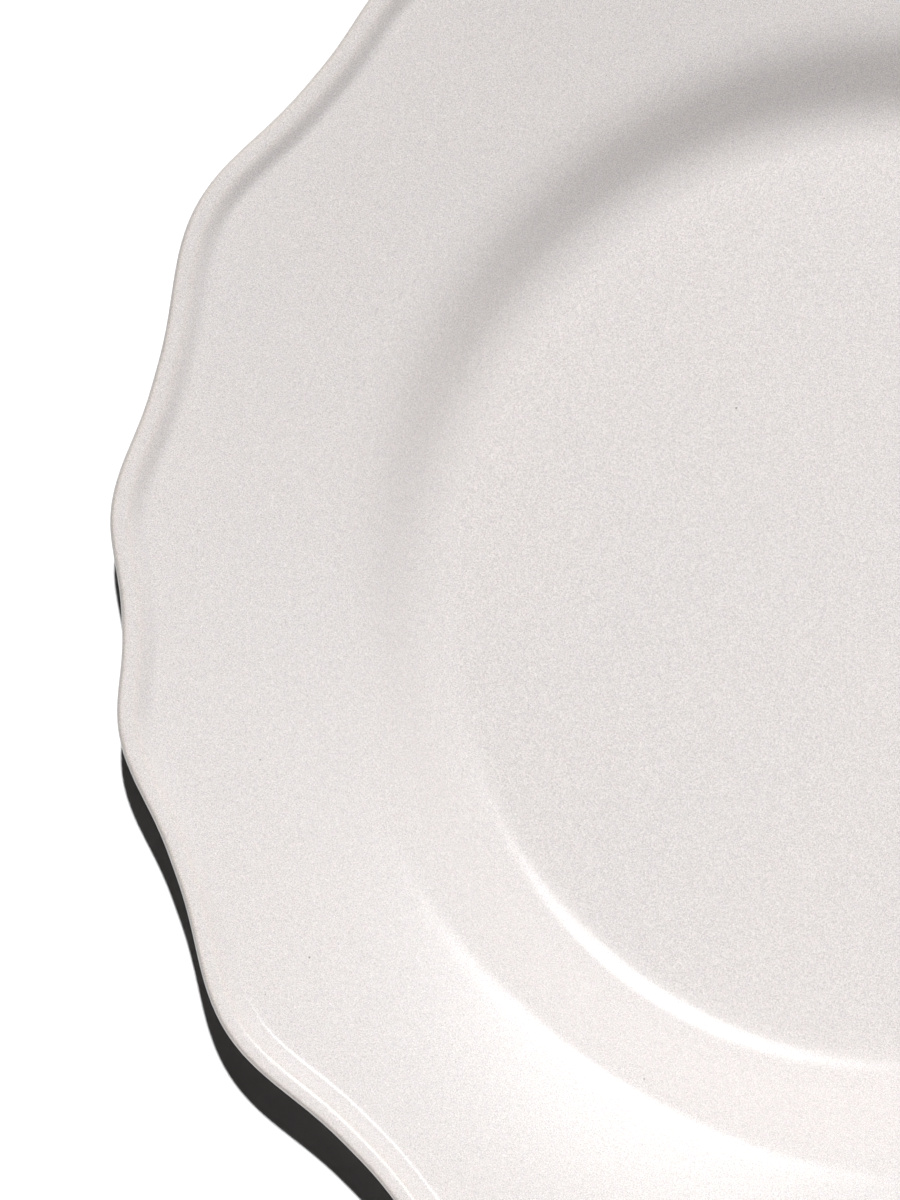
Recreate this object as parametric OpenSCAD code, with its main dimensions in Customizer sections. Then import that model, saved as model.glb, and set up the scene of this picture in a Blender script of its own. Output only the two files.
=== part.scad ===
// Scalloped dessert plate: one fired ceramic piece with a round well, a sloping rim,
// a raised lip that follows the scallops, and a foot ring underneath.
// It stands on its foot at z = 0, centred on the Z axis, with a big lobe on +X.

/* [Scalloped outline] */
// Diameter across two opposite big lobes
rim_d = 214; // [200:1:260]
// Number of big lobes, each with a small lobe on both sides
big_lobes = 6; // [5:1:8]
// Depth of the deep dip on each side of a big lobe
deep_dip = 3.2; // [1:0.1:4.5]
// How far a small lobe stands back from the circle of the big lobes
small_lobe_back = 0.9; // [0.2:0.1:2]
// Depth of the shallow dip between two small lobes
shallow_dip = 2.8; // [1:0.1:4.5]

/* [Well] */
// Diameter of the flat floor
floor_d = 120; // [90:1:125]
// Radius of the hollow curve that turns the floor up into the wall
floor_curve_r = 11; // [9:0.2:15]
// Slope of the wall, in degrees
wall_slope = 43; // [30:1:48]
// How far the straight part of the wall reaches outward
wall_run = 3; // [0.6:0.2:4]
// Radius of the round shoulder that turns the wall out into the rim
shoulder_r = 15; // [11:0.5:22]

/* [Rim and lip] */
// Slope of the rim where it leaves the shoulder, in degrees
rim_slope_inside = 13; // [8:0.5:20]
// Slope of the rim at its edge, in degrees
rim_slope_outside = 10.5; // [5:0.5:20]
// Width of the lip, from the plate's edge to the foot of its inner side
lip_w = 4.3; // [3.5:0.1:5.5]
// Width of the level top of the lip
lip_top_w = 1.5; // [1.2:0.1:2.2]
// Height of the lip above the run of the rim
lip_rise = 1.3; // [0.4:0.1:1.8]
// Thickness of the rounded edge, from the top of the lip to its underside
edge_t = 3.4; // [2.6:0.1:4.4]
// How far in from the edge its rounding reaches
edge_round_w = 0.8; // [0.5:0.1:1.1]

/* [Thickness and foot] */
// Thickness of the floor
floor_t = 4.2; // [3.2:0.1:6]
// Thickness of the rim
rim_t = 3.8; // [3:0.1:5]
// Height of the foot ring, from the table to the recess under the floor
foot_h = 2.2; // [1.2:0.1:3.5]
// Width of the flat band that the foot stands on
foot_band_w = 2.6; // [1.5:0.1:4]
// How far the flat band reaches out beyond the edge of the flat floor
foot_outset = 1.7; // [1:0.1:4]
// Radius of the rounded corners beside the flat band
foot_corner_r = 0.6; // [0.3:0.1:0.8]

/* [Hidden] */
glaze_colour = [0.91, 0.89, 0.88];

// Outline: one repeat runs from a big lobe over a dip, a small lobe and the shallow dip,
// and back again as its mirror image
half_repeat = 180 / big_lobes;
deep_dip_place_share = 0.41;
small_lobe_place_share = 0.737;
// A power over one makes the lobes tighter than the dips between them
lobe_tightness = 1.25;
rim_r = rim_d / 2;
stop_angles = half_repeat * [0, deep_dip_place_share, small_lobe_place_share, 1];
stop_radii = [rim_r, rim_r - deep_dip, rim_r - small_lobe_back, rim_r - shallow_dip];

// Facets: points round the plate, the same number on each repeat, and steps along the section
points_wanted = 192;
around = 2 * big_lobes * floor(points_wanted / (2 * big_lobes));
floor_curve_steps = 4;
shoulder_steps = 4;
rim_steps = 3;
lip_step_steps = 4;
round_edge_steps = 6;
under_shoulder_steps = 2;
under_floor_curve_steps = 2;
corner_steps = 4;

// Section, from the floor outward
floor_r = floor_d / 2;
floor_z = foot_h + floor_t;
wall_r = floor_r + floor_curve_r * sin(wall_slope) + wall_run;
wall_z = floor_z + floor_curve_r * (1 - cos(wall_slope)) + wall_run * tan(wall_slope);
shoulder_end_r = wall_r + shoulder_r * (sin(wall_slope) - sin(rim_slope_inside));
shoulder_end_z = wall_z + shoulder_r * (cos(rim_slope_inside) - cos(wall_slope));
rim_run = rim_r - shoulder_end_r;

// Lip: a power under one makes its inner side fuller above and gives it a tighter foot
lip_fullness = 0.75;

// Underside of the rim: the body thins over so many widths of the lip, and rings lie there
thinning_share = 3;
thinning_w = lip_w * thinning_share;
under_rim_shares = [1, 2];

// Foot: it widens at its root and is sunk into the body above it
foot_band_r = floor_r + foot_outset;
foot_root_share = 0.4;
foot_sink_share = 0.45;
foot_root = foot_h * foot_root_share;
foot_sink = floor_t * foot_sink_share;

// Half a cosine wave, from 1 where t is 0 down to 0 where t is 1
function ease(t) = (1 + cos(180 * t)) / 2;

// The point that lies the given share of the way from p to q
function between(p, q, share) = p + (q - p) * share;

// Radius of the outline between two neighbouring stops: the lobe is tighter than the dip
function eased_radius(from, to, t) =
    from > to
        ? between(to, from, pow(ease(t), lobe_tightness))
        : between(from, to, pow(ease(1 - t), lobe_tightness));

// Angle from the nearest big lobe
function folded(angle) = abs(angle - 2 * half_repeat * round(angle / (2 * half_repeat)));

// Radius of the outline at any angle
function outline_r(angle) =
    let (a = folded(angle),
         i = a < stop_angles[1] ? 0 : a < stop_angles[2] ? 1 : 2,
         t = (a - stop_angles[i]) / (stop_angles[i + 1] - stop_angles[i]))
    eased_radius(stop_radii[i], stop_radii[i + 1], t);

function polar(r, angle) = r * [cos(angle), sin(angle)];
function outline_point(angle) = polar(outline_r(angle), angle);

// Unit vector that points straight out of the outline
function outward(angle) =
    let (step = 180 / around,
         along = outline_point(angle + step) - outline_point(angle - step))
    [along.y, -along.x] / norm(along);

// Height of the rim at any radius: its slope eases steadily toward the edge
function rim_z(r) =
    let (run = r - shoulder_end_r,
         flattening = (tan(rim_slope_inside) - tan(rim_slope_outside)) / (2 * rim_run))
    shoulder_end_z + run * tan(rim_slope_inside) - run * run * flattening;

// Height of the lip above the rim, by the distance in from the edge
function lip_lift(inset) =
    let (t = max(0, (inset - lip_top_w) / (lip_w - lip_top_w)))
    lip_rise * pow(ease(t), lip_fullness);

// Depth of the underside below the rim: the body thins toward its edge
function under_drop(inset) =
    between(rim_t, edge_t - lip_rise, ease((inset - edge_round_w) / (thinning_w - edge_round_w)));

// Thickness of the body between the floor and the rim, by the share of the way
function wall_t(share) = between(floor_t, rim_t, share);

// One point of the section and the same point carried through the body's thickness
function floor_curve_point(slope) =
    [floor_r + floor_curve_r * sin(slope), floor_z + floor_curve_r * (1 - cos(slope))];
function shoulder_point(slope) =
    [wall_r + shoulder_r * (sin(wall_slope) - sin(slope)),
     wall_z + shoulder_r * (cos(slope) - cos(wall_slope))];
function through(p, slope, t) = p + t * [sin(slope), -cos(slope)];

// A ring of points on a circle
function round_ring(p) =
    [for (i = [0 : around - 1]) let (q = polar(p.x, 360 * i / around)) [q.x, q.y, p.y]];

// A ring of points at a steady distance in from the outline, lifted off the rim
function edge_ring(inset, lift) =
    [for (i = [0 : around - 1])
        let (angle = 360 * i / around,
             q = outline_point(angle) - inset * outward(angle))
        [q.x, q.y, rim_z(norm(q)) + lift]];

// A ring on the rim, the given share of the way from the shoulder's circle to the lip
function rim_ring(share) =
    let (inner = round_ring([shoulder_end_r, shoulder_end_z]),
         outer = edge_ring(lip_w, 0))
    [for (i = [0 : around - 1])
        let (q = between(inner[i], outer[i], share), r = norm([q.x, q.y]))
        [q.x, q.y, rim_z(r)]];

// The skin of the body as rings, from the floor over the lip to the underside
floor_curve_rings = [for (i = [0 : floor_curve_steps])
    round_ring(floor_curve_point(wall_slope * i / floor_curve_steps))];
shoulder_rings = [for (i = [0 : shoulder_steps])
    round_ring(shoulder_point(between(wall_slope, rim_slope_inside, i / shoulder_steps)))];
rim_rings = [for (i = [1 : rim_steps - 1]) rim_ring(i / rim_steps)];
lip_step_rings = [for (i = [0 : lip_step_steps])
    let (inset = between(lip_w, lip_top_w, i / lip_step_steps)) edge_ring(inset, lip_lift(inset))];
round_edge_rings = [for (i = [0 : round_edge_steps])
    let (turn = 180 * i / round_edge_steps)
    edge_ring(edge_round_w * (1 - sin(turn)), lip_rise - edge_t * (1 - cos(turn)) / 2)];
under_rim_rings = [for (inset = lip_w * under_rim_shares) edge_ring(inset, -under_drop(inset))];
under_shoulder_rings = [for (i = [0 : under_shoulder_steps])
    let (share = i / under_shoulder_steps, slope = between(rim_slope_inside, wall_slope, share))
    round_ring(through(shoulder_point(slope), slope, wall_t(1 - share / 2)))];
under_floor_curve_rings = [for (i = [0 : under_floor_curve_steps])
    let (share = i / under_floor_curve_steps, slope = wall_slope * (1 - share))
    round_ring(through(floor_curve_point(slope), slope, wall_t((1 - share) / 2)))];
rings = concat(floor_curve_rings, shoulder_rings, rim_rings, lip_step_rings, round_edge_rings,
    under_rim_rings, under_shoulder_rings, under_floor_curve_rings);

// Well, wall, rim and lip as one closed skin: a fan on the floor, bands of triangles from
// each ring to the next, and a fan on the underside
module body() {
    last = len(rings) - 1;
    ring_points = [for (ring = rings) each ring];
    points = concat(ring_points, [[0, 0, floor_z], [0, 0, foot_h]]);
    floor_centre = len(ring_points);
    recess_centre = floor_centre + 1;
    bands = [for (k = [0 : last - 1]) for (i = [0 : around - 1])
        let (j = (i + 1) % around, a = k * around, b = a + around)
        each [[a + i, b + j, b + i], [a + i, a + j, b + j]]];
    floor_fan = [for (i = [0 : around - 1]) [floor_centre, (i + 1) % around, i]];
    recess_fan = [for (i = [0 : around - 1])
        [recess_centre, last * around + i, last * around + (i + 1) % around]];
    polyhedron(points = points, faces = concat(floor_fan, bands, recess_fan));
}

// A quarter circle of points round a corner of the foot, from one angle to another
function corner(centre, from, to) =
    [for (i = [0 : corner_steps])
        let (angle = between(from, to, i / corner_steps)) centre + polar(foot_corner_r, angle)];

// Foot ring: a flat ground band between rounded corners, flared where it joins the body
module foot() {
    in_r = foot_band_r - foot_band_w;
    flare = foot_root + foot_sink;
    rotate_extrude($fn = around)
        polygon(concat(
            corner([in_r, foot_corner_r], 180, 270),
            corner([foot_band_r, foot_corner_r], 270, 360),
            [[foot_band_r + foot_corner_r, foot_h - foot_root],
             [foot_band_r + foot_corner_r + flare, foot_h + foot_sink],
             [in_r - foot_corner_r - flare, foot_h + foot_sink],
             [in_r - foot_corner_r, foot_h - foot_root]]));
}

module plate() {
    color(glaze_colour)
        union() {
            body();
            foot();
        }
}

plate();
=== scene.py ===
# %% [markdown]
# A scalloped dessert plate
#
# The object is one piece of fired clay under a clear, faintly warm glaze: a flat floor, a
# round wall, a sloping rim, a raised lip that follows eighteen scallops, and a foot ring
# underneath. This lesson builds its skin as one closed surface, worked out with numpy from a
# handful of sizes, then gives it a glaze, a table to stand on, a camera and lamps.
#
# All lengths are in metres, and the Z axis is the axis of the plate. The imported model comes
# first, because it fixes where the plate stands and how large it is.

import bpy
import numpy as np
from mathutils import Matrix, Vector


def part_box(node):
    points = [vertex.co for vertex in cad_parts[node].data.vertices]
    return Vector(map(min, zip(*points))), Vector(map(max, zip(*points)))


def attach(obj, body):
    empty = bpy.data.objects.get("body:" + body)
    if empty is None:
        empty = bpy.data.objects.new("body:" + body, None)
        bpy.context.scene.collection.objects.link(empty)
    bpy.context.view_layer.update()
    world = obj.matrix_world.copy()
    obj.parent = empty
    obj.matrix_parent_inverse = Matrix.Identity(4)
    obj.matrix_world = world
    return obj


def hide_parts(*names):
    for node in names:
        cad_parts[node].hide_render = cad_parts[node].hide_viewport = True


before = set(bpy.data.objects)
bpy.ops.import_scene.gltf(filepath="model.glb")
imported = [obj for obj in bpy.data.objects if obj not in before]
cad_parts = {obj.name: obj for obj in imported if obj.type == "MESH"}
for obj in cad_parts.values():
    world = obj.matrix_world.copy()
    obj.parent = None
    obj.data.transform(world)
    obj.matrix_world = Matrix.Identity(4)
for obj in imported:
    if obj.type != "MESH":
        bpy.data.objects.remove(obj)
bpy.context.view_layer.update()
plate_low, plate_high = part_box("plate")
MM = 0.001
print("packed plate, mm:", [round(side / MM, 2) for side in plate_high - plate_low])

# %% [markdown]
# The scalloped outline
#
# Seen from above, the rim has six big lobes. A deep dip lies on each side of a big lobe, then
# comes a smaller lobe, and a shallow dip lies between two small lobes. One could trace such an
# edge with a curve and many handles, but then no size in it means anything. Here four radii
# and four angles say where the lobes and dips are, and a cosine wave runs between them. The
# wave is raised to a power a little over one, which makes the lobes tighter than the dips, as
# they are on the real rim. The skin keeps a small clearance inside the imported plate, so that it
# can't grow out of its box.

# %% Outline of the rim
CLEARANCE = 0.08 * MM
RIM_R = plate_high.x - CLEARANCE
BIG_LOBES = 6
DEEP_DIP = 3.2 * MM
SMALL_LOBE_BACK = 0.9 * MM
SHALLOW_DIP = 2.8 * MM
LOBE_TIGHTNESS = 1.25
HALF_REPEAT = np.pi / BIG_LOBES
STOP_SHARES = np.array([0, 0.41, 0.737, 1])
STOP_ANGLES = HALF_REPEAT * STOP_SHARES
STOP_RADII = RIM_R - np.array([0, DEEP_DIP, SMALL_LOBE_BACK, SHALLOW_DIP])


def ease(t):
    """Half a cosine wave: 1 where t is 0, falling to 0 where t is 1, and flat at both ends."""
    return (1 + np.cos(np.pi * np.clip(t, 0, 1))) / 2


def outline_radius(angle):
    """Radius of the rim. The angle is folded to its distance from the nearest big lobe, and
    between two neighbouring stops the radius is the lower one plus the step between them
    times the eased share of the way, raised to the lobe's tightness."""
    folded = np.abs((angle + HALF_REPEAT) % (2 * HALF_REPEAT) - HALF_REPEAT)
    leg = np.clip(np.searchsorted(STOP_ANGLES, folded, side="right") - 1, 0, 2)
    start, end = STOP_RADII[leg], STOP_RADII[leg + 1]
    share = (folded - STOP_ANGLES[leg]) / (STOP_ANGLES[leg + 1] - STOP_ANGLES[leg])
    toward_low = np.where(start > end, share, 1 - share)
    low, high = np.minimum(start, end), np.maximum(start, end)
    return low + (high - low) * ease(toward_low) ** LOBE_TIGHTNESS


AROUND = 540
angles = np.arange(AROUND) * (2 * np.pi / AROUND)
outline = outline_radius(angles)[:, None] * np.stack([np.cos(angles), np.sin(angles)], 1)
along = np.roll(outline, -1, 0) - np.roll(outline, 1, 0)
outward = np.stack([along[:, 1], -along[:, 0]], 1) / np.linalg.norm(along, axis=1)[:, None]
print("outline radii, mm:", (np.linalg.norm(outline, axis=1).min() / MM).round(2), "to",
      (np.linalg.norm(outline, axis=1).max() / MM).round(2))

# %% [markdown]
# The section of the well
#
# A potter's section is arcs and straight runs: the flat floor turns up into the wall on a
# hollow curve, and the wall turns out into the rim on a round shoulder. The two arcs meet
# where the wall is steepest, so the surface has no crease, and a lamp draws one long, even
# highlight on each of them. That highlight is the first thing that shows a wrong section, so
# the arcs are worked out exactly and not bent by hand.

# %% Floor, hollow curve, shoulder and rim
FOOT_H = 2.2 * MM
FLOOR_T = 4.2 * MM
RIM_T = 3.8 * MM
FLOOR_R = 60 * MM
FLOOR_CURVE_R = 11 * MM
WALL_RUN = 3.0 * MM
SHOULDER_R = 15.0 * MM
WALL_SLOPE, RIM_SLOPE_INSIDE, RIM_SLOPE_OUTSIDE = np.radians([43, 13, 10.5])
FLOOR_Z = FOOT_H + FLOOR_T
WALL_FOOT_R = FLOOR_R + FLOOR_CURVE_R * np.sin(WALL_SLOPE)
WALL_FOOT_Z = FLOOR_Z + FLOOR_CURVE_R * (1 - np.cos(WALL_SLOPE))
WALL_R = WALL_FOOT_R + WALL_RUN
WALL_Z = WALL_FOOT_Z + WALL_RUN * np.tan(WALL_SLOPE)


def floor_curve(slope):
    """Radius and height on the hollow arc where it has this slope. The arc reaches out by its
    radius times the sine of the slope, and up by its radius times one less the cosine."""
    return np.stack([FLOOR_R + FLOOR_CURVE_R * np.sin(slope),
                     FLOOR_Z + FLOOR_CURVE_R * (1 - np.cos(slope))], 1)


def shoulder(slope):
    """Radius and height on the round arc that follows. From the top of the wall it reaches out
    by its radius times what the sine has lost, and up by its radius times what the cosine of
    the slope has gained."""
    return np.stack([WALL_R + SHOULDER_R * (np.sin(WALL_SLOPE) - np.sin(slope)),
                     WALL_Z + SHOULDER_R * (np.cos(slope) - np.cos(WALL_SLOPE))], 1)


def through_body(points, slope, thickness):
    """The same points carried square through the body to its underside: out by the thickness
    times the sine of the slope, and down by the thickness times its cosine."""
    return points + thickness[:, None] * np.stack([np.sin(slope), -np.cos(slope)], 1)


SHOULDER_END_R, SHOULDER_END_Z = shoulder(np.array([RIM_SLOPE_INSIDE]))[0]
RIM_RUN = RIM_R - SHOULDER_END_R


def rim_height(radius):
    """Height of the rim: a straight slope less a square term, which eases the slope from
    its inner to its outer value."""
    run = radius - SHOULDER_END_R
    flattening = (np.tan(RIM_SLOPE_INSIDE) - np.tan(RIM_SLOPE_OUTSIDE)) / (2 * RIM_RUN)
    return SHOULDER_END_Z + run * np.tan(RIM_SLOPE_INSIDE) - run ** 2 * flattening


print("floor at, mm:", round(FLOOR_Z / MM, 2), " rim starts at radius and height, mm:",
      round(SHOULDER_END_R / MM, 2), round(SHOULDER_END_Z / MM, 2))

# %% [markdown]
# The lip
#
# The edge carries a raised bead. Its inner side rises from the rim in a small swell, its top
# is nearly level, and its outer side rolls over and under. It could be a tube laid along the
# edge, but then a seam would show where the two meet. It keeps its width all round, so it is
# laid out by the distance in from the outline, square to the outline, and each point takes the
# height of the rim below it plus the lift of the lip. The clay has a tight foot four
# millimetres from the edge, and the glaze has run into that foot and filled it, so the glazed
# step is longer and softer, five millimetres wide, with its steepest place halfway.

# %% Lift of the lip and depth of the underside
LIP_W = 5.0 * MM
LIP_TOP_W = 1.7 * MM
LIP_RISE = 1.3 * MM
EDGE_T = 3.4 * MM
EDGE_ROUND_W = 0.8 * MM
THINNING_W = 12.9 * MM


def lip_lift(inset):
    """Level near the edge, then down to nothing at the lip's inner side. The slope of the step
    is a squared sine, so the height is one, less the share of the way, plus a sine wave."""
    t = np.clip((inset - LIP_TOP_W) / (LIP_W - LIP_TOP_W), 0, 1)
    return LIP_RISE * (1 - t + np.sin(2 * np.pi * t) / (2 * np.pi))


def under_drop(inset):
    """Depth of the underside below the rim's top: the edge's own depth, easing to the rim's
    full thickness."""
    share = ease((inset - EDGE_ROUND_W) / (THINNING_W - EDGE_ROUND_W))
    return RIM_T + (EDGE_T - LIP_RISE - RIM_T) * share


sample_insets = np.array([2, 3, 4]) * MM
print("lift of the lip 2, 3 and 4 mm from the edge, mm:",
      (lip_lift(sample_insets) / MM).round(2))


# %% Points along the edge and on circles
def edge_points(inset, lift):
    """One row of points for each distance in from the outline. A point is the outline less
    the distance times the outward direction, and its height is the rim's plus the lift."""
    flat = outline[None] - inset[:, None, None] * outward[None]
    height = rim_height(np.linalg.norm(flat, axis=2)) + lift[:, None]
    return np.concatenate([flat, height[..., None]], 2)


def round_points(section):
    """One row of points for each radius and height of the section: the radius times the
    cosine and the sine of every angle, all at that height."""
    flat = section[:, 0, None, None] * np.stack([np.cos(angles), np.sin(angles)], 1)[None]
    height = np.broadcast_to(section[:, 1, None, None], flat.shape[:2] + (1,))
    return np.concatenate([flat, height], 2)


lip_foot = edge_points(np.array([LIP_W]), np.zeros(1))[0]
print("height of the rim at the foot of the lip, mm:", (lip_foot[:, 2].min() / MM).round(2), "to",
      (lip_foot[:, 2].max() / MM).round(2))

# %% [markdown]
# The foot
#
# The plate stands on a ring under the wall. Its ground band is flat and bare, its corners are
# rounded so that it doesn't scratch the table, and it flows into the body with small fillets
# that the glaze has filled. The section is a short list of corners, each with the reach of the
# bend that rounds it. The first and the last point only give a direction: to the hollow curve
# outside the foot, and to the middle of the recess.

# %% Section of the foot and the recess
FOOT_BAND_IN, FOOT_BAND_OUT = 59.1 * MM, 61.7 * MM
FOOT_CORNER = 0.6 * MM
FOOT_SLANT = 0.5 * MM
FOOT_FILLET = 1.6 * MM
BEND_STEPS = [7, 6, 6, 7]
# The underside of the hollow curve stops at this slope, and runs on to the foot a bit flatter
UNDER_SLOPE_END = np.radians(20)
FLATTER = 0.8


def bend(before, corner, after, reach, steps):
    """A corner rounded as a parabola: it leaves the first side at the given reach before the
    corner, is pulled toward the corner, and meets the second side at the same reach."""
    start = corner + (before - corner) * reach / np.linalg.norm(before - corner)
    end = corner + (after - corner) * reach / np.linalg.norm(after - corner)
    t = np.linspace(0, 1, steps)[:, None]
    return (1 - t) ** 2 * start + 2 * t * (1 - t) * corner + t ** 2 * end


def foot_section():
    """From the underside of the hollow curve, round the foot, to the recess. Its corners are
    the foot's root outside, the two edges of the ground band, and the root inside, and each
    one is bent."""
    slope = np.array([UNDER_SLOPE_END])
    start = through_body(floor_curve(slope), slope, np.array([FLOOR_T]))[0]
    out_r, in_r = FOOT_BAND_OUT + FOOT_CORNER, FOOT_BAND_IN - FOOT_CORNER
    root_r = out_r + FOOT_SLANT
    root_z = start[1] - (start[0] - root_r) * np.tan(UNDER_SLOPE_END) * FLATTER
    corners = np.array([start, [root_r, root_z], [out_r, 0], [in_r, 0],
                        [in_r - FOOT_SLANT, FOOT_H], [0, FOOT_H]])
    reaches = [FOOT_FILLET, FOOT_CORNER, FOOT_CORNER, FOOT_FILLET]
    return np.concatenate([bend(corners[i], corners[i + 1], corners[i + 2], reach, count)
                           for i, (reach, count) in enumerate(zip(reaches, BEND_STEPS))])


foot = foot_section()
print("foot section points:", len(foot), " lowest, mm:", round(foot[:, 1].min() / MM, 3))

# %% [markdown]
# One skin from the floor to the recess
#
# Every row of the grid runs once round the plate. The rows follow the section from the middle
# of the floor, up the wall, out over the rim and the lip, back along the underside and over
# the foot to the middle of the recess. On the rim the rows change step by step from circles
# to the scalloped line, and on both sides of the plate they close in a point.

# %% Rows on the upper side
FLOOR_ROWS = 12
CURVE_ROWS = 16
WALL_ROWS = 2
SHOULDER_ROWS = 15
RIM_ROWS = 16
STEP_ROWS = 23


def between(first, last, count):
    """This many rows at even shares of the way from one row to another, both left out."""
    share = np.linspace(0, 1, count + 2)[1:-1, None, None]
    return share * (last - first)[None] + first[None]


def on_rim(points):
    """The same points set on the rim's surface, each at the rim's height for its radius."""
    height = rim_height(np.linalg.norm(points[..., :2], axis=2))
    return np.concatenate([points[..., :2], height[..., None]], 2)


floor_radii = np.linspace(0, FLOOR_R, FLOOR_ROWS + 1)[1:]
floor_rows = round_points(np.stack([floor_radii, np.full_like(floor_radii, FLOOR_Z)], 1))
curve_rows = round_points(floor_curve(np.linspace(0, WALL_SLOPE, CURVE_ROWS + 1)[1:]))
wall_radii = np.linspace(WALL_FOOT_R, WALL_R, WALL_ROWS + 2)[1:-1]
wall_heights = np.linspace(WALL_FOOT_Z, WALL_Z, WALL_ROWS + 2)[1:-1]
wall_rows = round_points(np.stack([wall_radii, wall_heights], 1))
shoulder_rows = round_points(
    shoulder(np.linspace(WALL_SLOPE, RIM_SLOPE_INSIDE, SHOULDER_ROWS)))
step_insets = np.linspace(LIP_W, LIP_TOP_W, STEP_ROWS)
step_rows = edge_points(step_insets, lip_lift(step_insets))
rim_rows = on_rim(between(shoulder_rows[-1], step_rows[0], RIM_ROWS))
upper_rows = np.concatenate([floor_rows, curve_rows, wall_rows, shoulder_rows, rim_rows,
                             step_rows])
print("rows on the upper side:", len(upper_rows))

# %% Rows round the edge and underneath
EDGE_ROWS = 19
UNDER_EDGE_ROWS = 10
UNDER_RIM_ROWS = 8
UNDER_SHOULDER_ROWS = 10
UNDER_CURVE_ROWS = 6
RECESS_ROWS = 8
WALL_T = (RIM_T + FLOOR_T) / 2

turns = np.linspace(0, np.pi, EDGE_ROWS)
edge_rows = edge_points(EDGE_ROUND_W * (1 - np.sin(turns)),
                        LIP_RISE - EDGE_T * (1 - np.cos(turns)) / 2)
under_insets = np.linspace(EDGE_ROUND_W, THINNING_W, UNDER_EDGE_ROWS + 1)[1:]
under_edge_rows = edge_points(under_insets, -under_drop(under_insets))
under_slopes = np.linspace(RIM_SLOPE_INSIDE, WALL_SLOPE, UNDER_SHOULDER_ROWS)
under_shoulder_t = np.linspace(RIM_T, WALL_T, UNDER_SHOULDER_ROWS)
under_shoulder_rows = round_points(
    through_body(shoulder(under_slopes), under_slopes, under_shoulder_t))
under_rim_rows = between(under_edge_rows[-1], under_shoulder_rows[0], UNDER_RIM_ROWS)
hollow_slopes = np.linspace(WALL_SLOPE, UNDER_SLOPE_END, UNDER_CURVE_ROWS + 1)[1:]
hollow_t = np.linspace(WALL_T, FLOOR_T, UNDER_CURVE_ROWS + 1)[1:]
under_curve_rows = round_points(
    through_body(floor_curve(hollow_slopes), hollow_slopes, hollow_t))
foot_rows = round_points(foot)
recess_radii = np.linspace(foot[-1, 0], 0, RECESS_ROWS + 2)[1:-1]
recess_rows = round_points(np.stack([recess_radii, np.full_like(recess_radii, FOOT_H)], 1))

rows = np.concatenate([upper_rows, edge_rows, under_edge_rows, under_rim_rows,
                       under_shoulder_rows, under_curve_rows, foot_rows, recess_rows])
print("rows:", len(rows), " points in a row:", AROUND)

# %% [markdown]
# From rows to a mesh
#
# Neighbouring rows are joined with four-sided faces, and a fan of triangles closes the middle
# of the floor and of the recess. Turning the order of the corners is all it takes to make the
# faces point out of the clay. The arrays go into the mesh in a few calls, with no loop over
# points.

# %% Build the plate's mesh
def skin_faces(row_count):
    """Corner numbers of the quads between rows and of the two fans, facing outwards. A quad
    goes from a point to the same point of the next row, to that point's neighbour, and to its
    own neighbour. A fan's triangles go from a centre to two neighbours of the row beside it."""
    here = np.arange(AROUND)
    there = (here + 1) % AROUND
    starts = (np.arange(row_count - 1) * AROUND)[:, None]
    quads = np.stack([starts + here, starts + AROUND + here, starts + AROUND + there,
                      starts + there], 2).reshape(-1, 4)
    last = (row_count - 1) * AROUND
    floor_centre = row_count * AROUND
    floor_fan = np.stack([np.full(AROUND, floor_centre), here, there], 1)
    recess_fan = np.stack([np.full(AROUND, floor_centre + 1), last + there, last + here], 1)
    return quads, np.concatenate([floor_fan, recess_fan])


def make_mesh(name, points, quads, triangles):
    """A smooth-shaded mesh from arrays of points, quads and triangles."""
    mesh = bpy.data.meshes.new(name)
    corners = np.concatenate([quads.ravel(), triangles.ravel()])
    sizes = np.concatenate([np.full(len(quads), 4), np.full(len(triangles), 3)])
    mesh.vertices.add(len(points))
    mesh.vertices.foreach_set("co", points.astype(np.float32).ravel())
    mesh.loops.add(len(corners))
    mesh.loops.foreach_set("vertex_index", corners.astype(np.int32))
    mesh.polygons.add(len(sizes))
    mesh.polygons.foreach_set("loop_start", (np.cumsum(sizes) - sizes).astype(np.int32))
    mesh.polygons.foreach_set("use_smooth", np.ones(len(sizes), bool))
    mesh.update(calc_edges=True)
    mesh.validate()
    return mesh


points = np.concatenate([rows.reshape(-1, 3), [[0, 0, FLOOR_Z], [0, 0, FOOT_H]]])
quads, fans = skin_faces(len(rows))
plate_mesh = make_mesh("glazed_plate", points, quads, fans)
plate = bpy.data.objects.new("glazed_plate", plate_mesh)
bpy.context.scene.collection.objects.link(plate)
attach(plate, "root")
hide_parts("plate")
print("triangles:", 2 * len(quads) + len(fans))

# %% [markdown]
# Where the glaze gathers and where it thins
#
# Molten glaze is thick in hollows and thin on sharp edges. On the real plate the thin glaze on
# the lip and on the corners of the foot lets a little of the warm clay through, and the thick
# glaze in the hollow beside the lip is a shade cooler. One could paint this by hand, but the
# surface already knows where it bends. The bend of the section is measured at every point, it
# is squeezed into a number between minus one and one, and the mesh keeps that number as an
# attribute for the material to read. A bend of three millimetres' radius gives one half.

# %% Bend of the surface as an attribute
HALF_GATHERED_R = 3 * MM
BLUR_PASSES = 2


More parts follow.
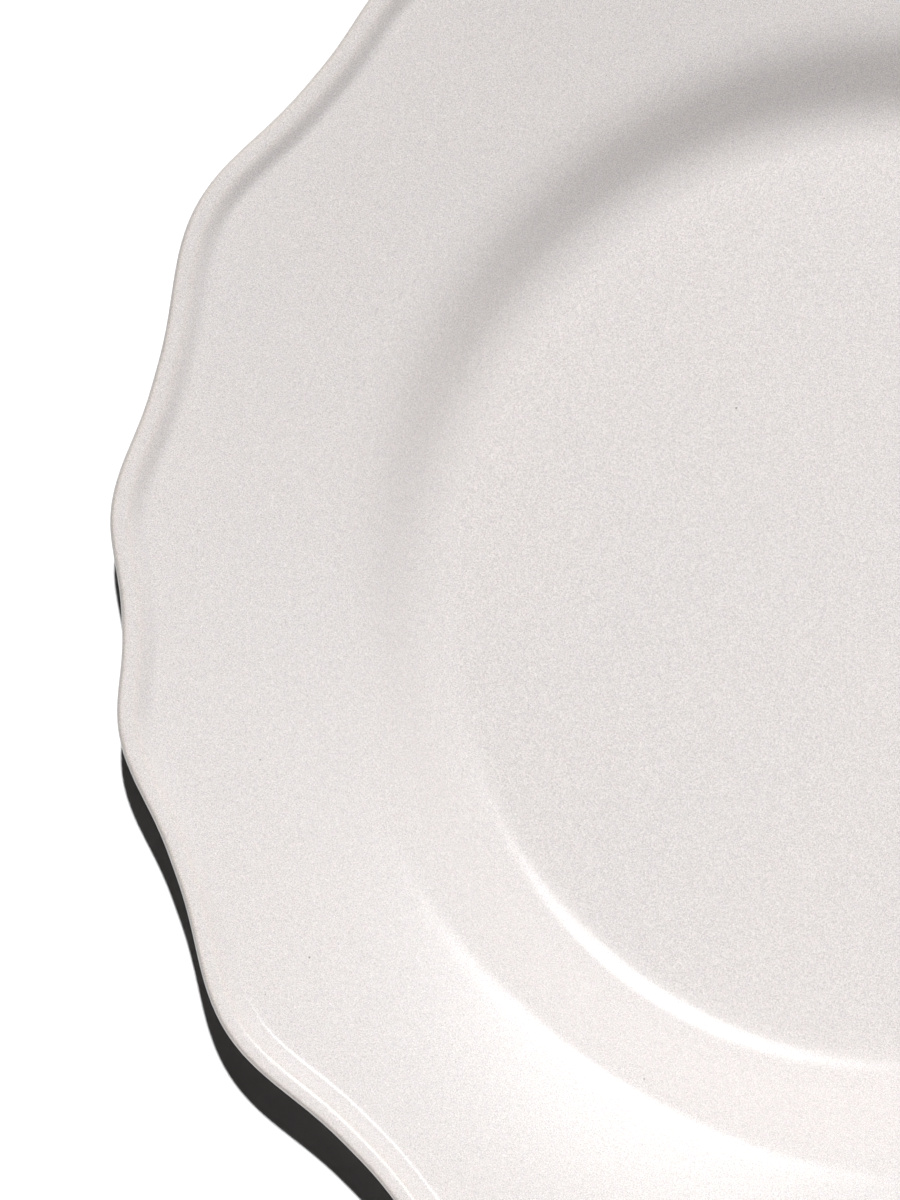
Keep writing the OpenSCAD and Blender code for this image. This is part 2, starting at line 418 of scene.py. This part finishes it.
def glaze_gathering(rows):
    """The change of direction from one row to the next, along the outward normal, divided by
    the distance between rows, is the bend. The bend divided by its own size plus the bend of
    the half-gathered radius lies between -1, thin, and 1, gathered. Each blur pass takes half
    of the number itself and a quarter from the row on each side."""
    first = rows - np.roll(rows, 1, 0)
    second = np.roll(rows, -1, 0) - rows
    reach = np.linalg.norm(first, axis=2, keepdims=True)
    next_reach = np.linalg.norm(second, axis=2, keepdims=True)
    normal = np.cross(first + second, np.roll(rows, -1, 1) - np.roll(rows, 1, 1))
    normal /= np.linalg.norm(normal, axis=2, keepdims=True)
    turned = ((second / next_reach - first / reach) * normal).sum(2)
    bend = turned / ((reach + next_reach)[..., 0] / 2)
    gathering = bend / (np.abs(bend) + 1 / HALF_GATHERED_R)
    gathering[[0, -1]] = 0
    for _ in range(BLUR_PASSES):
        gathering = (np.roll(gathering, 1, 0) + 2 * gathering + np.roll(gathering, -1, 0)) / 4
    return gathering


gathering = np.concatenate([glaze_gathering(rows).ravel(), [0, 0]])
attribute = plate_mesh.attributes.new("glaze_gathering", "FLOAT", "POINT")
attribute.data.foreach_set("value", gathering.astype(np.float32))
print("glaze gathering from", gathering.min().round(2), "to", gathering.max().round(2))

# %% [markdown]
# A few helpers for materials
#
# A material is a small network. Each node takes numbers, colours or the outputs of other
# nodes. One helper makes a node and fills or links its inputs, and the others build on it: they
# map a value from one range to another, do a sum, mix two colours and make a noise. With them
# the networks below read like short recipes.

# %% Helpers for node networks
def add_node(tree, kind, inputs=None, **settings):
    """A new node with these settings. An input is a value, or the output of another node."""
    node = tree.nodes.new(kind)
    for name, value in settings.items():
        setattr(node, name, value)
    for name, value in (inputs or {}).items():
        if isinstance(value, bpy.types.NodeSocket):
            tree.links.new(value, node.inputs[name])
        else:
            node.inputs[name].default_value = value
    return node


def mapped(tree, value, low, high, to_low, to_high):
    """The value, taken from one range to another and kept inside it."""
    return add_node(tree, "ShaderNodeMapRange", {
        "Value": value, "From Min": low, "From Max": high,
        "To Min": to_low, "To Max": to_high}).outputs["Result"]


def maths(tree, operation, first, second):
    """One sum on two values."""
    return add_node(tree, "ShaderNodeMath", {0: first, 1: second},
                    operation=operation).outputs[0]


def mixed(tree, share, first, second, blend="MIX"):
    """Two colours mixed by a share, or one multiplied by the other."""
    return add_node(tree, "ShaderNodeMix", {0: share, 6: first, 7: second},
                    data_type="RGBA", blend_type=blend).outputs[2]


def noise(tree, coords, per_metre, detail=2.0):
    """A soft random pattern with this many patches to the metre."""
    return add_node(tree, "ShaderNodeTexNoise", {
        "Vector": coords, "Scale": per_metre, "Detail": detail})


node_helpers = (add_node, mapped, maths, mixed, noise)
print("helpers:", [helper.__name__ for helper in node_helpers])

# %% [markdown]
# Grain in the glaze
#
# Seen close, the pale surface is not one colour. Fine grains in the glaze, about an eighth of a
# millimetre across, make it a little lighter and darker, and wider patches give it a hint of
# pink and of yellow. The bare clay of the foot has such grain too, only coarser. So the grain
# is a node group, built once, with its scale and its strength as inputs. It gives a tint to
# multiply a colour by, and the grain itself for the relief.

# %% Node group: grain
GRAIN_DETAIL = 3.0
PATCHES_TO_A_GRAIN = 0.15


def grain_group():
    """Tint = one, plus the grain's depth times a grey pattern, plus a small part of a
    coloured one, both centred on zero."""
    group = bpy.data.node_groups.new("ceramic_grain", "ShaderNodeTree")
    sockets = [("Coordinates", "NodeSocketVector"), ("Grains per metre", "NodeSocketFloat"),
               ("Depth", "NodeSocketFloat"), ("Colour depth", "NodeSocketFloat")]
    for name, kind in sockets:
        group.interface.new_socket(name, in_out="INPUT", socket_type=kind)
    group.interface.new_socket("Tint", in_out="OUTPUT", socket_type="NodeSocketColor")
    group.interface.new_socket("Grain", in_out="OUTPUT", socket_type="NodeSocketFloat")
    given = add_node(group, "NodeGroupInput").outputs
    coords, scale = given["Coordinates"], given["Grains per metre"]
    grey = noise(group, coords, scale, detail=GRAIN_DETAIL).outputs["Fac"]
    patches = maths(group, "MULTIPLY", scale, PATCHES_TO_A_GRAIN)
    coloured = noise(group, coords, patches).outputs["Color"]
    grey_part = maths(group, "MULTIPLY", maths(group, "SUBTRACT", grey, 0.5), given["Depth"])
    centred = add_node(group, "ShaderNodeVectorMath", {0: coloured, 1: (0.5, 0.5, 0.5)},
                       operation="SUBTRACT").outputs[0]
    colour_part = add_node(group, "ShaderNodeVectorMath", {
        0: centred, "Scale": given["Colour depth"]}, operation="SCALE").outputs[0]
    whole = maths(group, "ADD", grey_part, 1.0)
    tint = add_node(group, "ShaderNodeVectorMath", {0: colour_part, 1: whole},
                    operation="ADD").outputs[0]
    add_node(group, "NodeGroupOutput", {"Tint": tint, "Grain": grey})
    return group


ceramic_grain = grain_group()


def grained(tree, coords, per_metre, depth, colour_depth):
    """The grain group placed in a material with its own values."""
    return add_node(tree, "ShaderNodeGroup", {
        "Coordinates": coords, "Grains per metre": per_metre, "Depth": depth,
        "Colour depth": colour_depth}, node_tree=ceramic_grain).outputs


print("grain group nodes:", len(ceramic_grain.nodes))

# %% [markdown]
# Iron specks
#
# A few grains of iron in the clay burn through the glaze as dark dots, at most a third of a
# millimetre across and some sixteen millimetres apart. A Voronoi pattern drops one point into
# each cell of a grid at random. Near a point the distance is small, so a threshold on it gives
# a dot, and the cell's random colour makes some dots larger and leaves half of them out.

# %% Mask of the specks
SPECKS_APART = 16 * MM
LARGEST_SPECK_R = 0.17 * MM
SPECKS_LEFT_OUT = 0.5
SPECK_SOFTNESS = 0.3


def specks(tree, coords, apart, largest):
    """1 on a dot and 0 elsewhere. The radius of each dot is its cell's random number, mapped
    from the share above those left out to at most the largest radius. The dot's rim is soft
    over a part of the largest radius."""
    cells = add_node(tree, "ShaderNodeTexVoronoi", {"Vector": coords, "Scale": 1 / apart},
                     voronoi_dimensions="2D")
    chance = add_node(tree, "ShaderNodeSeparateColor", {
        "Color": cells.outputs["Color"]}).outputs["Red"]
    radius = mapped(tree, chance, SPECKS_LEFT_OUT, 1.0, 0.0, largest / apart)
    inside = maths(tree, "SUBTRACT", radius, cells.outputs["Distance"])
    return mapped(tree, inside, 0.0, SPECK_SOFTNESS * largest / apart, 0.0, 1.0)


print("places for a speck on the plate:", round(np.pi * (RIM_R / SPECKS_APART) ** 2))

# %% [markdown]
# Glaze and bare clay
#
# The glaze is a layer of glass over pale clay. Light scatters back from the clay, which is the
# base of the Principled shader, and the glass adds its own sharper reflection, which is the
# coat. Under the foot the glaze is wiped off before firing, so that the plate doesn't stick to
# the kiln shelf. There the coat ends in a slightly wandering line, and dry, sandy clay shows.
#
# The colour is built up in steps: broad warm and cool clouds, the grain, the change where the
# glaze gathered or thinned, the specks, and last the bare clay.
#
# Before the colours come the masks, which say where each of these is. Each one runs from none
# to full between two heights, or between two values of the gathering.

# %% Glaze material: where things are
GLAZE_LINE_LOW, GLAZE_LINE_HIGH = 0.05 * MM, 0.18 * MM
LINE_WANDER = 0.5 * MM
WANDERS_PER_METRE = 240
RECESS_FULL, RECESS_NONE = FOOT_H + 0.1 * MM, FOOT_H + 0.4 * MM
THICK_FROM, THICK_FULL = 0.15, 0.9
THIN_FROM, THIN_FULL = -0.35, -0.9

glaze = bpy.data.materials.new("clear_glaze")
glaze.use_nodes = True
tree = glaze.node_tree
shader = tree.nodes["Principled BSDF"]
coords = add_node(tree, "ShaderNodeTexCoord").outputs["Object"]
height = add_node(tree, "ShaderNodeSeparateXYZ", {0: coords}).outputs["Z"]
wander = noise(tree, coords, WANDERS_PER_METRE).outputs["Fac"]
glaze_line = maths(tree, "ADD", height, maths(tree, "MULTIPLY", wander, -LINE_WANDER))
bare = mapped(tree, glaze_line, GLAZE_LINE_LOW, GLAZE_LINE_HIGH, 1.0, 0.0)
recess = mapped(tree, height, RECESS_FULL, RECESS_NONE, 1.0, 0.0)
gathered = add_node(tree, "ShaderNodeAttribute", attribute_name="glaze_gathering").outputs["Fac"]
thick = mapped(tree, gathered, THICK_FROM, THICK_FULL, 0.0, 1.0)
thin = mapped(tree, gathered, THIN_FROM, THIN_FULL, 0.0, 1.0)
print("nodes for the masks:", len(tree.nodes))

# %% [markdown]
# The colour of the glaze
#
# Pale pottery looks white beside other things, and yet its colour is well below white: three
# quarters of the light come back, a bit more of the red than of the blue. Colours here are
# shares of light, so they aren't the numbers that a paint program shows. The grain has a trap.
# A noise fades away on every level where height times scale is a whole number, and the floor
# of the plate is one level. The scale is chosen so that the floor lies well between two such
# levels, and the cell prints where.

# %% Glaze material: colour
GLAZE_WARM = (0.776, 0.731, 0.717, 1)
GLAZE_COOL = (0.766, 0.727, 0.717, 1)
GLAZE_THICK = (0.965, 0.972, 0.978, 1)
GLAZE_THIN = (1.0, 0.965, 0.920, 1)
IRON = (0.20, 0.165, 0.14, 1)
BARE_CLAY = (0.74, 0.685, 0.61, 1)
SPECK_DARKNESS = 0.75
CLOUDS_PER_METRE = 42
CLOUD_DETAIL = 3.0
CLOUD_LOW, CLOUD_HIGH = 0.3, 0.7
GRAINS_PER_METRE = 7400
GRAIN_DEPTH, GRAIN_COLOUR_DEPTH = 1.3, 0.055
SAND_PER_METRE = 2600
SAND_DEPTH, SAND_COLOUR_DEPTH = 0.3, 0.12

clouds = noise(tree, coords, CLOUDS_PER_METRE, detail=CLOUD_DETAIL).outputs["Fac"]
warmth = mapped(tree, clouds, CLOUD_LOW, CLOUD_HIGH, 0.0, 1.0)
fine = grained(tree, coords, GRAINS_PER_METRE, GRAIN_DEPTH, GRAIN_COLOUR_DEPTH)
colour = mixed(tree, warmth, GLAZE_COOL, GLAZE_WARM)
colour = mixed(tree, 1.0, colour, fine["Tint"], "MULTIPLY")
colour = mixed(tree, thick, colour, mixed(tree, 1.0, colour, GLAZE_THICK, "MULTIPLY"))
colour = mixed(tree, thin, colour, mixed(tree, 1.0, colour, GLAZE_THIN, "MULTIPLY"))
dots = specks(tree, coords, SPECKS_APART, LARGEST_SPECK_R)
colour = mixed(tree, maths(tree, "MULTIPLY", dots, SPECK_DARKNESS), colour, IRON)
sand = grained(tree, coords, SAND_PER_METRE, SAND_DEPTH, SAND_COLOUR_DEPTH)
clay = mixed(tree, 1.0, BARE_CLAY, sand["Tint"], "MULTIPLY")
tree.links.new(mixed(tree, bare, colour, clay), shader.inputs["Base Color"])
print("grains from the table up to the floor:", round(FLOOR_Z * GRAINS_PER_METRE, 2))

# %% [markdown]
# The skin of the glass
#
# A fired glaze is never as flat as window glass. It has a faint orange peel, about three
# millimetres from bump to bump and a few thousandths of a millimetre deep, and a broader
# unevenness from the clay below. Neither changes the shape, but both make the edges of a
# highlight waver, so they are relief in the material. The recess shows the rings left by the
# turning tool, and the bare clay is sandy. Heights are in metres, so each strength here is the
# real depth. The coat is the outer face of the glass and follows the smooth part alone, while
# the base below it also has the fine grain and the sand. So there are two Bump nodes.

# %% Glaze material: relief
BROAD_PER_METRE = 28
PEEL_PER_METRE = 330
# At this scale the rings of the Wave node are five millimetres apart
RINGS_SCALE = 62.0
RINGS_DISTORTION = 0.6
BUMP_HEIGHTS = {"broad": 0.030 * MM, "peel": 0.0035 * MM, "grain": 0.0012 * MM,
                "rings": 0.02 * MM, "sand": 0.02 * MM}

broad = maths(tree, "MULTIPLY", noise(tree, coords, BROAD_PER_METRE, detail=1.0).outputs["Fac"],
              BUMP_HEIGHTS["broad"])
peel = maths(tree, "MULTIPLY", noise(tree, coords, PEEL_PER_METRE).outputs["Fac"],
             BUMP_HEIGHTS["peel"])
pits = maths(tree, "MULTIPLY", fine["Grain"], BUMP_HEIGHTS["grain"])
turning = add_node(tree, "ShaderNodeTexWave", {
    "Vector": coords, "Scale": RINGS_SCALE, "Distortion": RINGS_DISTORTION, "Detail": 1.0},
    wave_type="RINGS", rings_direction="Z").outputs["Fac"]
rings = maths(tree, "MULTIPLY", maths(tree, "MULTIPLY", turning, recess),
              BUMP_HEIGHTS["rings"])
sandy = maths(tree, "MULTIPLY", maths(tree, "MULTIPLY", sand["Grain"], bare),
              BUMP_HEIGHTS["sand"])
glass_relief = maths(tree, "ADD", maths(tree, "ADD", broad, peel), rings)
clay_relief = maths(tree, "ADD", maths(tree, "ADD", glass_relief, pits), sandy)
for relief, socket in ((clay_relief, "Normal"), (glass_relief, "Coat Normal")):
    bump = add_node(tree, "ShaderNodeBump", {"Height": relief, "Strength": 1.0, "Distance": 1.0})
    tree.links.new(bump.outputs["Normal"], shader.inputs[socket])
print("relief, thousandths of a millimetre:",
      {name: round(depth / MM * 1000, 1) for name, depth in BUMP_HEIGHTS.items()})

# %% [markdown]
# How the glaze shines
#
# Two layers could mirror a lamp, the base and the coat, and both at once would put a wide haze
# round every highlight. So the base mirrors next to nothing, and the coat draws the highlights
# alone. Its roughness is read from how soft their ends are in the photograph. The coat ends
# where the clay is bare, and the clay is rough.

# %% Glaze material: gloss
BASE_ROUGH_LOW, BASE_ROUGH_HIGH = 0.285, 0.315
BARE_ROUGHER = 0.5
BASE_MIRROR = 0.06
COAT_WEIGHT = 0.6
COAT_ROUGH = 0.17

gloss = mapped(tree, clouds, CLOUD_LOW, CLOUD_HIGH, BASE_ROUGH_LOW, BASE_ROUGH_HIGH)
gloss = maths(tree, "ADD", gloss, maths(tree, "MULTIPLY", bare, BARE_ROUGHER))
tree.links.new(gloss, shader.inputs["Roughness"])
tree.links.new(mapped(tree, bare, 0.0, 1.0, COAT_WEIGHT, 0.0), shader.inputs["Coat Weight"])
shader.inputs["Specular IOR Level"].default_value = BASE_MIRROR
shader.inputs["Coat Roughness"].default_value = COAT_ROUGH
plate_mesh.materials.append(glaze)
print("glaze nodes:", len(tree.nodes))

# %% [markdown]
# The table
#
# The plate lies on white paper, and a narrow, nearly black shadow shows along its lower left
# edge. A sheet that is white for every ray can't give both: it throws so much light back under
# the rim that the shadow turns pale, and far from the lamp it falls off to grey. So the paper
# has two faces, and Light Path tells which one a ray meets. A ray from the camera, or one that
# reaches it by way of gloss or glass, meets pale paper, with a glow that fades in away from
# the plate. Every other ray meets dark paper, which sends little light back up.

# %% Table top
TABLE_HALF_SIDE = 3.0
PAPER_SEEN, PAPER_UNSEEN = 0.8, 0.06
GLOW_NEAR, GLOW_FAR = 0.0, 1.0
GLOW_FROM, GLOW_FULL = 0.15, 0.7

table_corners = np.array([(-1, -1, 0), (1, -1, 0), (1, 1, 0), (-1, 1, 0)]) * TABLE_HALF_SIDE
table_mesh = bpy.data.meshes.new("table_top")
table_mesh.from_pydata(table_corners, [], [(0, 1, 2, 3)])
table_top = bpy.data.objects.new("table_top", table_mesh)
bpy.context.scene.collection.objects.link(table_top)
print("table side, m:", 2 * TABLE_HALF_SIDE)


# %% White paper
def seen_directly(tree):
    """1 for a ray that ends in the camera, straight or by gloss or glass, and 0 for the light
    that falls on things."""
    path = add_node(tree, "ShaderNodeLightPath").outputs
    straight = maths(tree, "MAXIMUM", path["Is Camera Ray"], path["Is Glossy Ray"])
    return maths(tree, "MAXIMUM", straight, path["Is Transmission Ray"])


white_paper = bpy.data.materials.new("white_paper")
white_paper.use_nodes = True
tree = white_paper.node_tree
tree.nodes.clear()
seen = seen_directly(tree)
paper = mapped(tree, seen, 0.0, 1.0, PAPER_UNSEEN, PAPER_SEEN)
diffuse = add_node(tree, "ShaderNodeBsdfDiffuse", {"Color": paper}).outputs[0]
place = add_node(tree, "ShaderNodeTexCoord").outputs["Object"]
reach = add_node(tree, "ShaderNodeVectorMath", {0: place}, operation="LENGTH").outputs["Value"]
fade = mapped(tree, reach, GLOW_FROM, GLOW_FULL, GLOW_NEAR, GLOW_FAR)
glow = add_node(tree, "ShaderNodeEmission", {
    "Strength": maths(tree, "MULTIPLY", fade, seen)}).outputs[0]
both = add_node(tree, "ShaderNodeAddShader", {0: diffuse, 1: glow}).outputs[0]
add_node(tree, "ShaderNodeOutputMaterial", {"Surface": both})
table_mesh.materials.append(white_paper)
print("paper nodes:", len(tree.nodes))

# %% [markdown]
# The white surround
#
# Beyond the table there is only white, as on a page of a catalogue. A world of strength one
# would do it, but it would also light the plate evenly from all sides, and the shading that
# shows the wall and the lip would be gone. The same test as on the paper keeps the two apart:
# the world is white where it is looked at, and almost dark as a source of light.

# %% World
WORLD_SEEN, WORLD_LIGHT = 1.0, 0.004
world = bpy.data.worlds.new("white_surround")
bpy.context.scene.world = world
world.use_nodes = True
tree = world.node_tree
background = tree.nodes["Background"]
background.inputs["Color"].default_value = (1, 1, 1, 1)
tree.links.new(mapped(tree, seen_directly(tree), 0.0, 1.0, WORLD_LIGHT, WORLD_SEEN),
               background.inputs["Strength"])
print("world strength, seen and as light:", WORLD_SEEN, WORLD_LIGHT)

# %% [markdown]
# The camera
#
# The photograph looks down on the left part of the plate from nearly straight above, and the
# plate's middle lies just outside the right border. Four measured numbers place the camera:
# where the plate's middle is in the picture, how many millimetres one pixel covers, how far
# the big lobe on the X axis is turned from the picture's right, and how far back from the
# middle of the view the camera stands. Its height above the rim is chosen, and the focal
# length follows from it, so that the picture's long side covers its share of the plate.

# %% Camera
PHOTO_SIZE = np.array([900, 1200])
PLATE_MIDDLE_PX = np.array([925.2, 590.7])
MM_PER_PX = 0.12944
ROLL = np.radians(27.8)
CAMERA_HEIGHT = 0.60
CAMERA_BACK = 18 * MM
SENSOR_MM = 36

edge_z = rim_height(RIM_R) + LIP_RISE - EDGE_T / 2
picture_right = np.array([np.cos(ROLL), np.sin(ROLL)])
picture_up = np.array([-np.sin(ROLL), np.cos(ROLL)])
offset_px = PHOTO_SIZE / 2 - PLATE_MIDDLE_PX
aim = (offset_px[0] * picture_right - offset_px[1] * picture_up) * MM_PER_PX * MM
camera_data = bpy.data.cameras.new("camera")
camera_data.sensor_width = SENSOR_MM
camera_data.lens = SENSOR_MM * CAMERA_HEIGHT / (PHOTO_SIZE[1] * MM_PER_PX * MM)
camera = bpy.data.objects.new("camera", camera_data)
bpy.context.scene.collection.objects.link(camera)
camera.location = (*(aim - CAMERA_BACK * picture_up), edge_z + CAMERA_HEIGHT)
camera.rotation_euler = (np.arctan2(CAMERA_BACK, CAMERA_HEIGHT), 0, ROLL)
bpy.context.scene.camera = camera
print("view centred at, mm:", (aim / MM).round(1), " focal length, mm:",
      round(camera_data.lens, 1))

# %% [markdown]
# A lamp and what it shines on
#
# An area lamp is a glowing disc or oval, and its size decides how soft its shadows and how
# large its highlights are. Each lamp here is placed the way a photographer would say it: how
# far it leans from the plate's axis, from which side of the picture it shines, and how far
# away it stands. A second helper lets a lamp's light fall on one object alone. Then the plate
# and the paper can each be lit as they need, which takes screens and flags in a real studio.

# %% Helpers for lamps
def area_lamp(name, lean, side, distance, size, watts):
    """A lamp that shines at the plate's middle from this distance. It leans from the plate's
    axis by the first angle, toward the side of the picture that the second angle gives,
    counted from the picture's right against the clock. The size is its breadth across that
    direction and its length along it."""
    turn = np.radians(side) + ROLL
    tilt = np.radians(lean)
    toward = Vector((np.sin(tilt) * np.cos(turn), np.sin(tilt) * np.sin(turn), np.cos(tilt)))
    data = bpy.data.lights.new(name, "AREA")
    data.shape = "ELLIPSE"
    data.size, data.size_y = size
    data.energy = watts
    lamp = bpy.data.objects.new(name, data)
    bpy.context.scene.collection.objects.link(lamp)
    lamp.location = toward * distance
    lamp.rotation_euler = toward.to_track_quat("Z", "Y").to_euler()
    return lamp


def light_only(lamp, receiver):
    """The lamp's light falls on one object alone."""
    receivers = bpy.data.collections.new(lamp.name + "_receivers")
    receivers.objects.link(receiver)
    lamp.light_linking.receiver_collection = receivers


print("helpers:", [helper.__name__ for helper in (area_lamp, light_only)])

# %% [markdown]
# Six lamps, one job each
#
# One large lamp would light the plate well enough, but the photograph shows three different
# sources. The shadow on the paper is hard, so its lamp is small, and the place and width of
# the shadow give its direction. The two white arcs, in the well and on the shoulder, are one
# oval lamp seen in the glaze: its breadth and length are read from where the arcs end. The
# soft shading of the far wall and of the lip comes from a third direction, and it barely
# changes across the plate, so that source is far away, like a window. Last, the lower left of
# the plate is a little lighter than the rest, and so is its rolled edge. Three weak lamps do
# that, as white cards beside the plate would, and the one for the edge is a narrow strip as
# low as the rim, so that hardly any of it falls into the well. The window and the cards draw no
# highlight in the glaze, so they are hidden from glossy rays, and the strip also from the
# camera, because it stands upright beside the plate.

# %% Lamps
table_lamp = area_lamp("table_lamp", lean=14.8, side=103.5, distance=1.0,
                       size=(0.018, 0.018), watts=15.5)
window = area_lamp("window", lean=48, side=87, distance=12.0, size=(3.6, 3.6), watts=930.0)
softbox = area_lamp("softbox", lean=28.8, side=49, distance=1.0, size=(0.30, 0.44), watts=3.8)
near_card = area_lamp("near_card", lean=30, side=270, distance=0.36, size=(0.2, 0.2), watts=0.31)
left_card = area_lamp("left_card", lean=74, side=200, distance=0.8, size=(0.5, 0.5), watts=0.9)
edge_card = area_lamp("edge_card", lean=88.6, side=240, distance=0.8, size=(0.3, 0.03), watts=1.0)
light_only(table_lamp, table_top)
for lamp in (window, softbox, near_card, left_card, edge_card):
    light_only(lamp, plate)
for lamp in (window, near_card, left_card, edge_card):
    lamp.visible_glossy = False
edge_card.visible_camera = False

bpy.context.scene.view_settings.view_transform = "Standard"
